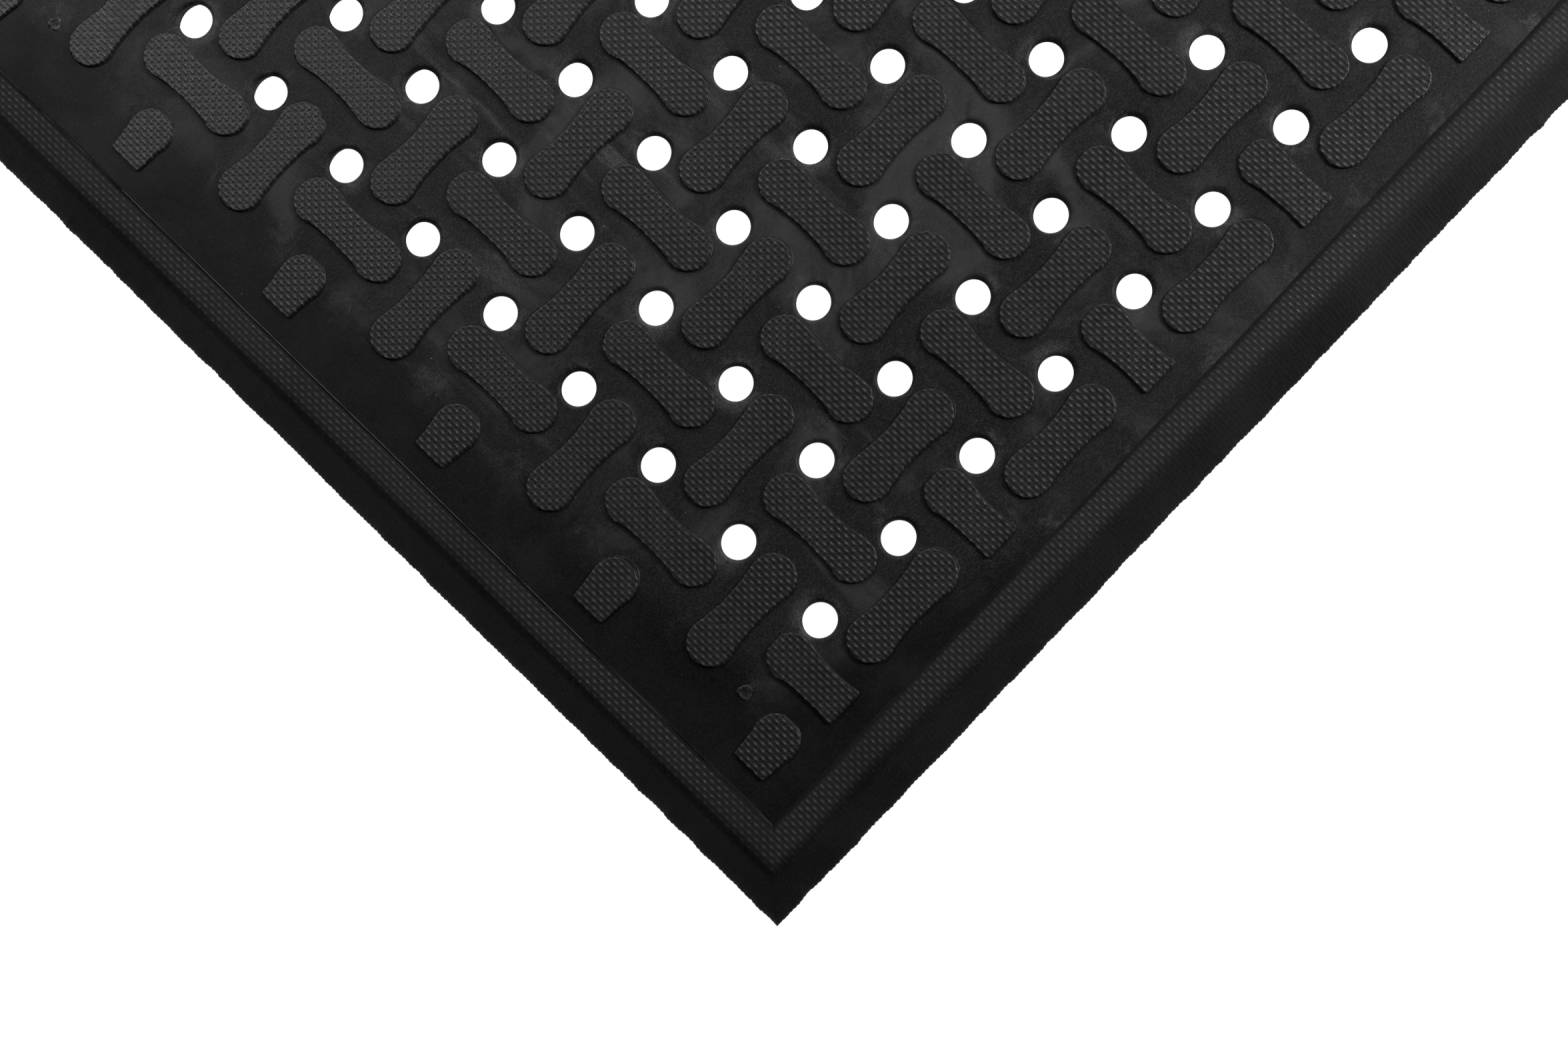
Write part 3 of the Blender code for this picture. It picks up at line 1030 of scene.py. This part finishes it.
# How much of the press mark the ridge carries, at distances inwards. The border's colour follows it: lighter
# on the ridge as painted highlight, and dark where it falls away on the inner side as painted shade.
FIN_SHARES = [(0.0100, 0.0), (0.0134, 0.25), (0.0150, 0.6), (0.0170, 1.0), (0.0236, 1.0), (0.0248, 0.2)]
SOFT_SHARES = [(0.0085, 0.0), (0.0134, 0.22), (0.0155, 0.50), (0.0175, 1.0), (0.0238, 1.0), (0.0256, 0.0)]


def border_height(inwards, sharp, x, reach):
    """The upper side's height. At a mitre it is the mean of both kinds of strip, so that they meet."""
    soft = np.interp(inwards, *zip(*SOFT_SECTION))
    fin = np.interp(inwards, *zip(*FIN_SECTION))
    share = 0.5 + 0.5 * np.clip((reach - np.abs(x)) / 0.012, 0, 1)
    own, other = (fin, soft) if sharp else (soft, fin)
    return own * share + other * (1 - share)


def ridge_weave(inwards, sharp, x):
    """How much of the press mark the ridge carries at a distance inwards."""
    share = np.interp(inwards, *zip(*(FIN_SHARES if sharp else SOFT_SHARES)))
    return share * (1.0 + 0.3 * noise(x, x * 0, 0.03, 71))


def strip_waver(inwards, x, fade, seed):
    """How far inwards the outer edge's scallops and waves, and the ridge's foot, put a row of corners."""
    level = x * 0
    outer = np.interp(inwards, [0.0, 0.0013, 0.005], [1.0, 0.8, 0.0]) * fade
    waved = 0.00030 * noise(x, level, 0.0085, seed) + 0.00020 * noise(x, level, 0.0031, seed + 1)
    waved += 0.00008 * noise(x, level, 0.0012, seed + 2)
    waved += 0.00013 * np.interp(inwards, [0.0, 0.0013], [1.0, 0.3]) * np.cos(math.tau * x / YARN)
    foot = np.interp(inwards, [0.0235, 0.0250], [0.0, 1.0]) * fade
    waved = outer * waved + foot * 0.00045 * noise(x, level, 0.045, seed + 3)
    return waved + foot * 0.00008 * noise(x, level, 0.004, seed + 4)


def lift_strip(places, weave, inwards, sharp, x, y, fade, seed):
    """Raises a row of corners by its press mark, the ramp's faint ribs and the uneven fin."""
    world_x, world_y = places[:, 0], places[:, 1]
    mark = woven(world_x, world_y)
    places[:, 2] += weave * press_depth(world_x, world_y) * WEAVE_HEIGHT * (mark - MARK_LEVEL) * 1.4
    ribs = np.interp(inwards, [0.0, 0.0004, 0.0100, 0.0126], [0.0, 1.0, 0.8, 0.0]) * fade
    places[:, 2] += ribs * 0.00004 * noise(x, y, 0.0022, seed + 5)
    places[:, 2] += ribs * 0.00003 * np.cos(math.tau * x / YARN)
    if sharp:
        fin = np.interp(inwards, [0.0256, 0.0259, 0.0261, 0.0264], [0.0, 1.0, 1.0, 0.0]) * fade
        places[:, 2] += fin * 0.00055 * layered(x, x * 0, 0.016, seed + 6)


def strip_row(side, inwards, level):
    """Places along one row of corners, their weave, and their positions along the strip.

    A row with no level of its own lies on the upper side.
    """
    _, run, across, turn, sharp = side
    spin = np.array(Matrix.Rotation(math.radians(turn), 3, "Z"))
    seed = 50 + turn
    reach = run / 2 - inwards - BOND_LINE
    last = math.floor((reach - GRID * 0.4) / GRID)
    x = np.concatenate([[-reach], np.arange(-last, last + 1) * GRID, [reach]])
    y = np.full(len(x), inwards - across / 2)
    if level is not None:
        return np.stack([x, y, np.full(len(x), level)], 1) @ spin.T, np.zeros(len(x)), x
    places = np.stack([x, y, border_height(inwards, sharp, x, reach)], 1) @ spin.T
    fade = np.clip((reach - np.abs(x)) / 0.006, 0, 1)
    places[:, :2] += np.outer(strip_waver(inwards, x, fade, seed), spin[:2, 1])
    weave = ridge_weave(inwards, sharp, x)
    lift_strip(places, weave, inwards, sharp, x, y, fade, seed)
    return places, weave, x


def make_border_strip(side, material):
    """One side's strip. It is drawn as the front one, then turned into its place."""
    points, marks, lines = [], [], []
    count = 0
    for inwards, level in [(row, None) for row in RAMP_ROWS + RIDGE_ROWS + INNER_ROWS] + LAP_ROWS:
        places, weave, x = strip_row(side, inwards, level)
        points.append(places)
        marks.append(press_values(places[:, 0], places[:, 1], weave))
        lines.append((count, x))
        count += len(x)
    triangles = []
    quads = []
    for (start, x), (next_start, next_x) in zip(lines, lines[1:] + lines[:1]):
        triangles += band(start, x, next_start, next_x, quads)
    name = side[0]
    piece = mesh_piece(name, np.concatenate(points), quads, triangles, material, np.concatenate(marks))
    close_ends(piece, [[start for start, _ in lines], [start + len(x) - 1 for start, x in lines]])
    shade(piece, 60)
    finish_piece(piece, name)


def zipper(first, second):
    """Triangles between two lines of corners, given as (position along, index), advancing along both."""
    triangles = []
    i = j = 0
    while i < len(first) - 1 or j < len(second) - 1:
        step_first = j == len(second) - 1 or (i < len(first) - 1 and first[i + 1][0] <= second[j + 1][0])
        if step_first:
            triangles.append((first[i][1], first[i + 1][1], second[j][1]))
            i += 1
        else:
            triangles.append((first[i][1], second[j + 1][1], second[j][1]))
            j += 1
    return triangles


def band(start, x, next_start, next_x, quads):
    """Adds the quads between two rows whose inner corners stand opposite, and returns the end triangles."""
    shorter, longer = (x, next_x) if len(x) <= len(next_x) else (next_x, x)
    spare = (len(longer) - len(shorter)) // 2
    low = start if shorter is x else next_start
    high = next_start if shorter is x else start
    inner = len(shorter) - 2
    a = low + 1 + np.arange(inner - 1)
    b = high + 1 + spare + np.arange(inner - 1)
    pairs = np.stack([a, a + 1, b + 1, b], 1)
    if shorter is not x:
        pairs = pairs[:, ::-1]
    quads.extend(map(tuple, pairs))
    first = [(place, low + k) for k, place in enumerate(shorter)]
    second = [(place, high + k) for k, place in enumerate(longer)]
    triangles = zipper(first[:2], second[:spare + 2]) + zipper(first[-2:], second[-2 - spare:])
    return triangles if shorter is x else [corners[::-1] for corners in triangles]


# Scene


def make_floor():
    """A level white square that glows evenly."""
    tree = Tree("floor", 0.9, 0.0)
    tree.shader.inputs["Base Color"].default_value = (FLOOR_GREY, FLOOR_GREY, FLOOR_GREY, 1.0)
    tree.shader.inputs["Emission Color"].default_value = (1.0, 1.0, 1.0, 1.0)
    tree.shader.inputs["Emission Strength"].default_value = FLOOR_GLOW
    corners = [(-1, -1), (1, -1), (1, 1), (-1, 1)]
    points = [(x * FLOOR_REACH, y * FLOOR_REACH, FLOOR_LEVEL) for x, y in corners]
    floor = mesh_piece("floor", points, [range(4)], [], tree.material)


def view_ahead():
    """The level direction that points up the view."""
    heading = math.radians(VIEW_HEADING)
    return Vector((math.cos(heading), math.sin(heading), 0.0))


def view_place(right, up, height):
    """A place given from the middle of the view: metres to its right, up it, and above the floor."""
    middle = Vector((FIRST_HOLE_X, FIRST_HOLE_Y, 0.0)) + Vector(VIEW_AIM) * PITCH
    ahead = view_ahead()
    side = Vector((ahead.y, -ahead.x, 0.0))
    return middle + side * right + ahead * up + Vector((0.0, 0.0, height))


def make_lights():
    """Three large soft lamps, to both sides of the view and beyond its top, and a weak even surround."""
    for name, place, target, size, power in LAMPS:
        lamp = bpy.data.lights.new(name, "AREA")
        lamp.shape = "DISK"
        lamp.size = size
        lamp.energy = power
        light = add_object(name, lamp)
        light.location = view_place(*place)
        ahead = view_place(*target) - view_place(*place)
        light.rotation_euler = ahead.to_track_quat("-Z", "Y").to_euler()
    world = bpy.data.worlds.new("studio")
    world.use_nodes = True
    background = world.node_tree.nodes["Background"]
    background.inputs["Color"].default_value = (1.0, 1.0, 1.0, 1.0)
    background.inputs["Strength"].default_value = WORLD_LIGHT
    bpy.context.scene.world = world


def make_camera():
    """High over the corner at low X and Y, looking nearly straight down, with X to the upper right."""
    first = Vector((FIRST_HOLE_X, FIRST_HOLE_Y, FIELD_TOP))
    at = first + Vector(VIEW_EYE) * PITCH
    aim = first + Vector(VIEW_AIM) * PITCH
    ahead = (aim - at).normalized()
    right = ahead.cross(view_ahead()).normalized()
    turn = Matrix((right, right.cross(ahead), -ahead)).transposed().to_4x4()
    camera = bpy.data.cameras.new("camera")
    camera.sensor_width = SENSOR_WIDTH
    camera.lens = LENS
    camera.clip_start = NEAREST
    holder = add_object("camera", camera)
    holder.matrix_world = Matrix.Translation(at) @ turn
    bpy.context.scene.camera = holder


def main():
    bpy.context.scene.view_settings.view_transform = "Standard"
    make_camera()
    make_lights()
    make_floor()
    make_foam_core(foam_rubber())
    make_tread_field(field_rubber())
    studs = stud_rubber()
    templates = {}
    for row in STUD_ROWS:
        make_stud_row(row, templates, studs)
    make_flash(flash_rubber())
    border = border_rubber()
    # Name, length, distance across the mat, turn in degrees, whether it ends in a groove
    sides = [
        ("border_front", LENGTH, WIDTH, 0, False),
        ("border_right", WIDTH, LENGTH, 90, True),
        ("border_back", LENGTH, WIDTH, 180, False),
        ("border_left", WIDTH, LENGTH, 270, True),
    ]
    for side in sides:
        make_border_strip(side, border)


main()
